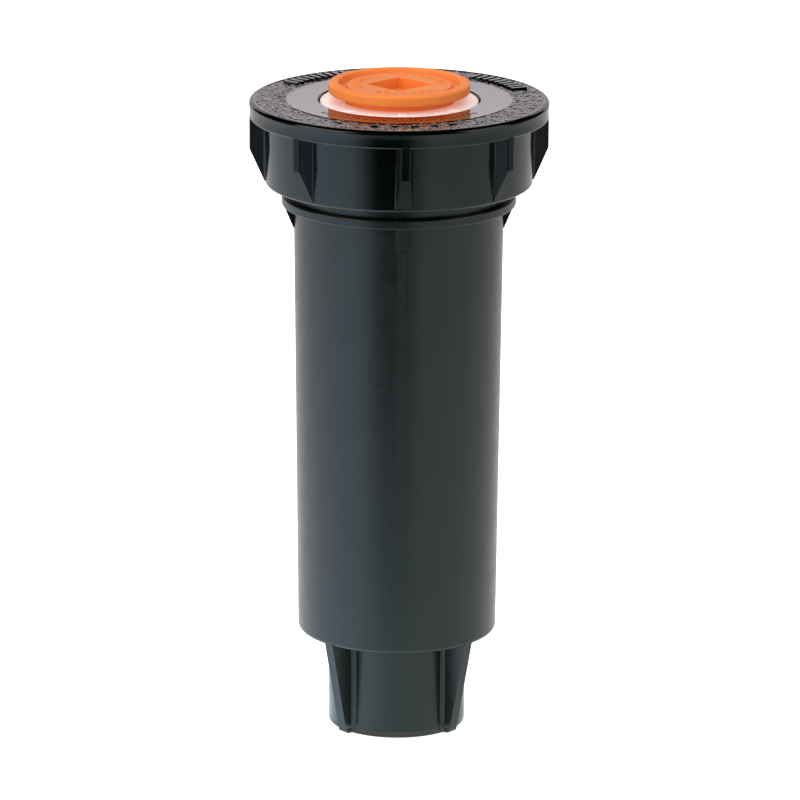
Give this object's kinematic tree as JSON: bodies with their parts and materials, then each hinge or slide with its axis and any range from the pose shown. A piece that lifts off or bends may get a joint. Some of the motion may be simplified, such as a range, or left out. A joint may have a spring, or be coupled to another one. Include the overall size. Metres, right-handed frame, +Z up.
{
  "type": "pop-up sprinkler",
  "caption": "Pop-up spray sprinkler body with threaded ribbed cap, retracting riser, wiper seal and flush plug, standing on its threaded inlet.",
  "frame": {"origin": "centre of the bottom face of the inlet", "axes": "+Z up along the riser's axis, towards the cap; -Y is the front"},
  "size_m": [0.0572, 0.0572, 0.1269],
  "materials": {
    "case_plastic": "black moulded plastic, satin",
    "cap_plastic": "black moulded plastic, grained band and polished ring",
    "seal_rubber": "pale moulded elastomer, glossy",
    "inner_plastic": "grey acetal",
    "spring_steel": "drawn stainless wire",
    "riser_plastic": "black moulded plastic, smooth",
    "check_rubber": "soft black rubber",
    "screen_plastic": "natural polypropylene",
    "plug_plastic": "orange moulded plastic, glossy"
  },
  "bodies": {
    "body": {"case": "case_plastic"},
    "seal_carrier": {"seal_retainer": "inner_plastic", "wiper_seal": "seal_rubber", "retract_spring": "spring_steel"},
    "cap": {"cap": "cap_plastic"},
    "ratchet": {"ratchet_ring": "inner_plastic"},
    "riser": {"riser_stem": "riser_plastic", "ratchet_hub": "riser_plastic", "check_washer": "check_rubber", "washer_retainer": "inner_plastic", "filter_screen": "screen_plastic"},
    "plug": {"flush_plug": "plug_plastic"}
  },
  "joints": [
    {"name": "cap_lift", "type": "slide", "parent": "body", "child": "seal_carrier", "axis": [0, 0, 1], "range_m": [0, 0.01]},
    {"name": "cap_turn", "type": "hinge", "parent": "seal_carrier", "child": "cap", "pos_m": [0, 0, 0.115], "axis": [0, 0, 1], "range_deg": [0, 900]},
    {"name": "riser_slide", "type": "slide", "parent": "seal_carrier", "child": "ratchet", "axis": [0, 0, 1], "range_m": [0, 0.076], "stiffness_N_per_m": 200, "springref_m": -0.05, "deforming": ["retract_spring"]},
    {"name": "riser_turn", "type": "hinge", "parent": "ratchet", "child": "riser", "pos_m": [0, 0, 0.025], "axis": [0, 0, 1], "continuous": true},
    {"name": "plug_pull", "type": "slide", "parent": "riser", "child": "plug", "axis": [0, 0, 1], "range_m": [0, 0.02]}
  ],
  "couplings": [
    {"joint": "cap_lift", "follows": "cap_turn", "m_per_rad": 0.00063662}
  ]
}
